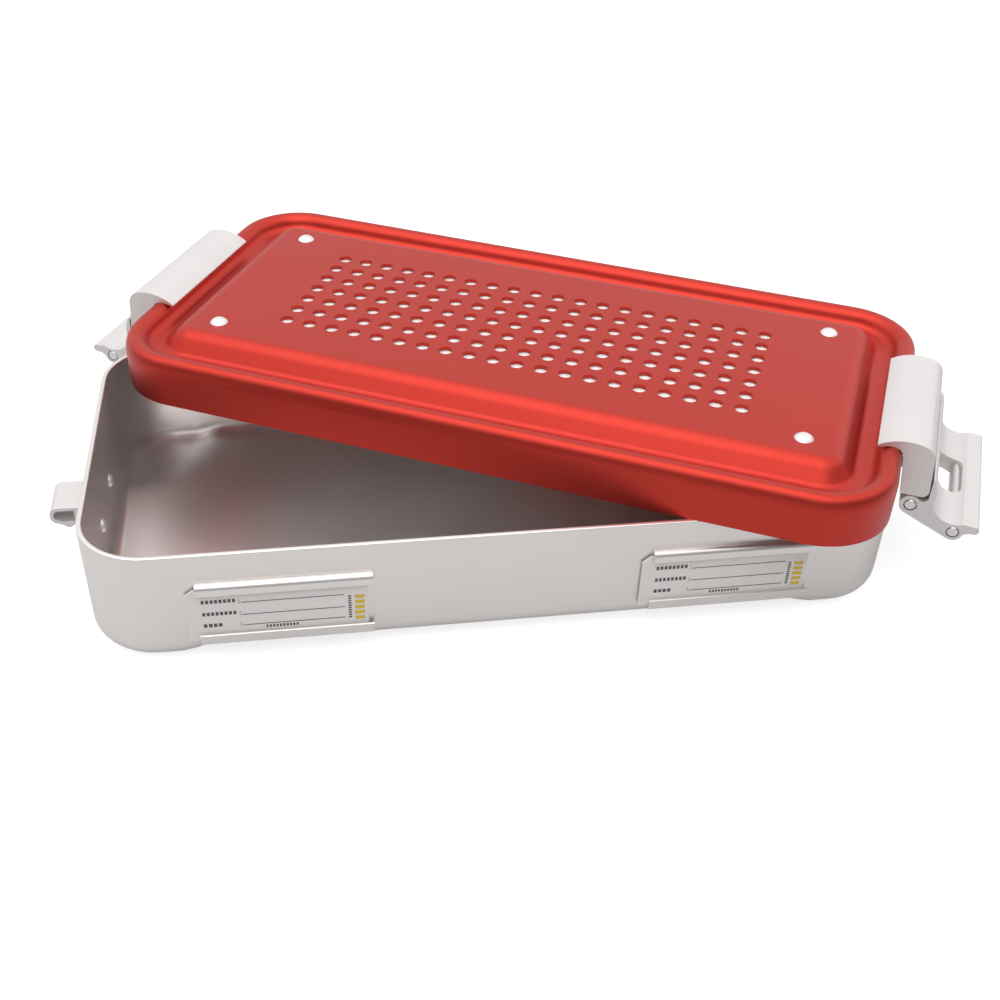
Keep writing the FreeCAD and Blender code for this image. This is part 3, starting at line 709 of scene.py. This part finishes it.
def holder_section(height):
    """Distance from the wall and height above the holder's lower edge, round the section."""
    upper = [(0.0, height)]
    for step in range(LIP_ROLL_STEPS + 1):
        angle = math.radians(90) * step / LIP_ROLL_STEPS
        upper.append((HOLDER_SHEET + (HOLDER_DEPTH - HOLDER_SHEET) * math.sin(angle),
                      height - LIP_ROLL * (1 - math.cos(angle))))
    edge = HOLDER_DEPTH - LIP_SLANT
    upper += [(HOLDER_DEPTH, height - LIP_DROP), (edge, height - LIP_DROP - 0.5),
              (HOLDER_INSIDE, height - LIP_ROOT), (HOLDER_SHEET, height - LIP_ROOT)]
    lower = [(HOLDER_SHEET, LIP_ROOT), (HOLDER_INSIDE, LIP_ROOT), (edge, LOWER_LIP + 0.3),
             (HOLDER_DEPTH, LOWER_LIP), (edge, 0.7), (HOLDER_SHEET, 0.0), (0.0, 0.0)]
    return upper + lower


def make_holder(name, node):
    """Folded holder whose upper lip is rolled over at the top and straight below."""
    low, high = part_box(node)
    work = bmesh.new()
    rings = []
    for x in (low.x, high.x):
        rings.append([work.verts.new((x, high.y - distance * MM, low.z + level * MM))
                      for distance, level in holder_section((high.z - low.z) / MM)])
    first, last = rings
    for place, vert in enumerate(first):
        work.faces.new((first[place - 1], vert, last[place], last[place - 1]))
    work.faces.new(first)
    work.faces.new(last)
    bmesh.ops.recalc_face_normals(work, faces=work.faces[:])
    piece = new_piece(name, work)
    break_edges(piece, sizes().hole_round)
    seat(piece, node, tray_metal())


# Fields of the print, in millimetres from the card's left end and from its lower edge:
# left, right, bottom, top

def dashed(left, right, bottom, top, pitch, ink):
    """A row of like blocks, one each pitch, each as wide as the ink."""
    count = int((right - left - ink) / pitch) + 1
    return [(left + pitch * step, left + pitch * step + ink, bottom, top) for step in range(count)]


def stacked(left, right, bottom, top, pitch, ink):
    """The same row set upright."""
    return [(low, high, start, end)
            for start, end, low, high in dashed(bottom, top, left, right, pitch, ink)]


LINE_HEIGHTS = (16.4, 10.6, 5.6)
RULED_LINES = [(19.5, 56.0, height, height + 0.35) for height in LINE_HEIGHTS]
DOTS = [(18.6, 19.0, height, height + 0.4) for line in LINE_HEIGHTS for height in (line, line + 1.0)]
BLOCK_ROWS = (dashed(5.6, 18.0, 16.9, 18.5, 1.55, 1.05) + dashed(5.6, 18.0, 11.2, 12.8, 1.55, 1.05)
              + dashed(5.6, 12.4, 5.8, 7.4, 1.75, 1.25) + dashed(27.5, 39.5, 3.8, 5.0, 1.2, 0.75)
              + stacked(57.3, 58.4, 5.4, 16.4, 1.1, 0.7))
DARK_FIELDS = RULED_LINES + DOTS + BLOCK_ROWS
YELLOW_FIELDS = stacked(59.6, 63.2, 4.4, 17.0, 2.5, 1.7)


def print_card(name, node, fields, material):
    """Thin fields of ink on the front of a card."""
    low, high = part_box(node)
    thickness = sizes().ink_height
    work = bmesh.new()
    for left, right, bottom, top in fields:
        centre = Vector((low.x + (left + right) / 2 * MM, low.y - thickness / 2,
                         low.z + (bottom + top) / 2 * MM))
        grown = Matrix.Diagonal(((right - left) * MM, thickness, (top - bottom) * MM, 1))
        bmesh.ops.create_cube(work, size=1, matrix=Matrix.Translation(centre) @ grown)
    seat(new_piece(name, work), node, material, stands_for=False)


class BuildLabels(bpy.types.Operator):
    """Label holders and their printed cards"""
    bl_idname = "box.build_labels"
    bl_label = "Labels"

    def execute(self, context):
        card = material_once("coated_card", coated_card, colours().card[:], roughness=0.45)
        ink = material_once("dark_ink", coated_card, colours().ink[:], roughness=0.5)
        patch = material_once("yellow_ink", coated_card, colours().patch[:], roughness=0.5)
        for side in ("left", "right"):
            make_holder("holder_" + side, "label_holder_" + side)
            dressed("card_" + side, "label_card_" + side, card, sizes().ink_height)
            print_card("card_print_" + side, "label_card_" + side, DARK_FIELDS, ink)
            print_card("card_patch_" + side, "label_card_" + side, YELLOW_FIELDS, patch)
        return {"FINISHED"}


class BuildStage(bpy.types.Operator):
    """White floor, soft studio light and the camera"""
    bl_idname = "box.build_stage"
    bl_label = "Stage"

    def execute(self, context):
        make_floor()
        make_world()
        make_lamp("key_light", place=(-0.3, 0.1, 1.3), aim=(0, 0, 0.03), width=1.2, power=3)
        make_camera()
        return {"FINISHED"}


# The floor's colour and glow, and the share of the glow that reflections show

FLOOR_GREY = 0.5
FLOOR_GLOW = 0.72
MIRRORED_SHARE = 0.2


def background_share(tree):
    """1 for what the camera sees directly or through glass, less in a reflection, otherwise 0."""
    path = add_node(tree, "ShaderNodeLightPath")
    mirrored = add_node(tree, "ShaderNodeMath", {
        0: path.outputs["Is Glossy Ray"], 1: MIRRORED_SHARE}, operation="MULTIPLY")
    first = add_node(tree, "ShaderNodeMath", {
        0: path.outputs["Is Camera Ray"], 1: mirrored.outputs["Value"]}, operation="MAXIMUM")
    share = add_node(tree, "ShaderNodeMath", {
        0: first.outputs["Value"], 1: path.outputs["Is Transmission Ray"]}, operation="MAXIMUM")
    return share.outputs["Value"]


def make_floor():
    """Pale sweep under the box, which keeps the box's shadow and turns white in the light."""
    work = bmesh.new()
    bmesh.ops.create_grid(work, x_segments=1, y_segments=1, size=6)
    mesh = bpy.data.meshes.new("floor")
    work.to_mesh(mesh)
    work.free()
    floor = bpy.data.objects.new("floor", mesh)
    bpy.context.scene.collection.objects.link(floor)
    material, tree, shader = new_material("white_paper_sweep")
    shader.inputs["Base Color"].default_value = (FLOOR_GREY, FLOOR_GREY, FLOOR_GREY, 1)
    shader.inputs["Roughness"].default_value = 0.9
    shader.inputs["Emission Color"].default_value = (1, 1, 1, 1)
    lit = add_node(tree, "ShaderNodeMath", {0: background_share(tree), 1: FLOOR_GLOW},
                   operation="MULTIPLY")
    tree.links.new(lit.outputs["Value"], shader.inputs["Emission Strength"])
    mesh.materials.append(material)


# Directions of the light from above and of the softbox

SKY_SIDE = (0.0, 0.5, 1.0)
SOFTBOX_SIDE = (-0.16, -0.55, 0.82)


def make_world():
    """White background, a soft light from above, dim from the front, and a softbox over the camera."""
    world = bpy.data.worlds.new("studio")
    bpy.context.scene.world = world
    world.use_nodes = True
    tree = world.node_tree
    tree.nodes.clear()
    direction = add_node(tree, "ShaderNodeTexCoord").outputs["Generated"]
    height = add_node(tree, "ShaderNodeVectorMath", {0: direction, 1: SKY_SIDE},
                      operation="DOT_PRODUCT").outputs["Value"]
    facing = add_node(tree, "ShaderNodeVectorMath", {
        0: direction, 1: Vector(SOFTBOX_SIDE).normalized()}, operation="DOT_PRODUCT").outputs["Value"]
    behind = add_node(tree, "ShaderNodeSeparateXYZ", {"Vector": direction}).outputs["Y"]
    above = add_node(tree, "ShaderNodeMapRange", {
        "Value": height, "From Min": 0.1, "From Max": 0.5, "To Min": 0.2, "To Max": 1.5})
    fading = add_node(tree, "ShaderNodeMapRange", {
        "Value": behind, "From Min": 0.2, "From Max": 0.9, "To Min": 1.0, "To Max": 0.7})
    soft = add_node(tree, "ShaderNodeMath", {
        0: above.outputs["Result"], 1: fading.outputs["Result"]}, operation="MULTIPLY")
    softbox = add_node(tree, "ShaderNodeMapRange", {
        "Value": facing, "From Min": 0.86, "From Max": 0.98, "To Min": 0.0, "To Max": 1.3},
        interpolation_type="SMOOTHSTEP")
    total = add_node(tree, "ShaderNodeMath", {0: soft.outputs["Value"], 1: softbox.outputs["Result"]})
    light = add_node(tree, "ShaderNodeBackground", {"Strength": total.outputs["Value"]})
    white = add_node(tree, "ShaderNodeBackground", {"Strength": 1.0})
    seen = add_node(tree, "ShaderNodeLightPath").outputs["Is Camera Ray"]
    mix = add_node(tree, "ShaderNodeMixShader", {
        0: seen, 1: light.outputs["Background"], 2: white.outputs["Background"]})
    add_node(tree, "ShaderNodeOutputWorld", {"Surface": mix.outputs["Shader"]})


def make_lamp(name, place, aim, width, power):
    light = bpy.data.lights.new(name, "AREA")
    light.shape = "DISK"
    light.size = width
    light.energy = power
    lamp = bpy.data.objects.new(name, light)
    lamp.location = place
    lamp.rotation_euler = (Vector(aim) - Vector(place)).to_track_quat("-Z", "Y").to_euler()
    bpy.context.scene.collection.objects.link(lamp)


CAMERA_PLACE = (-0.0673, -0.4208, 0.3284)
CAMERA_TURN = (53.09, -1.87, -8.74)
CAMERA_LENS = 45.55


def make_camera():
    lens = bpy.data.cameras.new("camera")
    lens.lens = CAMERA_LENS
    lens.sensor_width = 36
    lens.clip_start = 0.01
    lens.clip_end = 50
    camera = bpy.data.objects.new("camera", lens)
    camera.location = CAMERA_PLACE
    camera.rotation_euler = [math.radians(angle) for angle in CAMERA_TURN]
    bpy.context.scene.collection.objects.link(camera)
    bpy.context.scene.camera = camera
    bpy.context.scene.view_settings.view_transform = "Standard"


class BoxPanel(bpy.types.Panel):
    """Buttons for the pieces, with their sizes and colours"""
    bl_label = "Sterilization box"
    bl_idname = "VIEW3D_PT_sterilization_box"
    bl_space_type = "VIEW_3D"
    bl_region_type = "UI"
    bl_category = "Sterilization box"

    def draw(self, context):
        for group in (context.scene.box_sizes, context.scene.box_colours):
            for key in group.__annotations__:
                self.layout.prop(group, key)
        for operator in OPERATORS:
            self.layout.operator(operator.bl_idname)


OPERATORS = (BuildTray, BuildLid, BuildLidInside, BuildRivets, BuildLatches, BuildCatches,
             BuildLabels, BuildStage)
CLASSES = (BoxSizes, BoxColours) + OPERATORS + (BoxPanel,)


def register():
    for item in CLASSES:
        bpy.utils.register_class(item)
    bpy.types.Scene.box_sizes = bpy.props.PointerProperty(type=BoxSizes)
    bpy.types.Scene.box_colours = bpy.props.PointerProperty(type=BoxColours)


def unregister():
    del bpy.types.Scene.box_colours
    del bpy.types.Scene.box_sizes
    for item in reversed(CLASSES):
        bpy.utils.unregister_class(item)


def main():
    register()
    bpy.ops.box.build_tray()
    bpy.ops.box.build_lid()
    bpy.ops.box.build_lid_inside()
    bpy.ops.box.build_rivets()
    bpy.ops.box.build_latches()
    bpy.ops.box.build_catches()
    bpy.ops.box.build_labels()
    bpy.ops.box.build_stage()


if __name__ == "__main__":
    main()
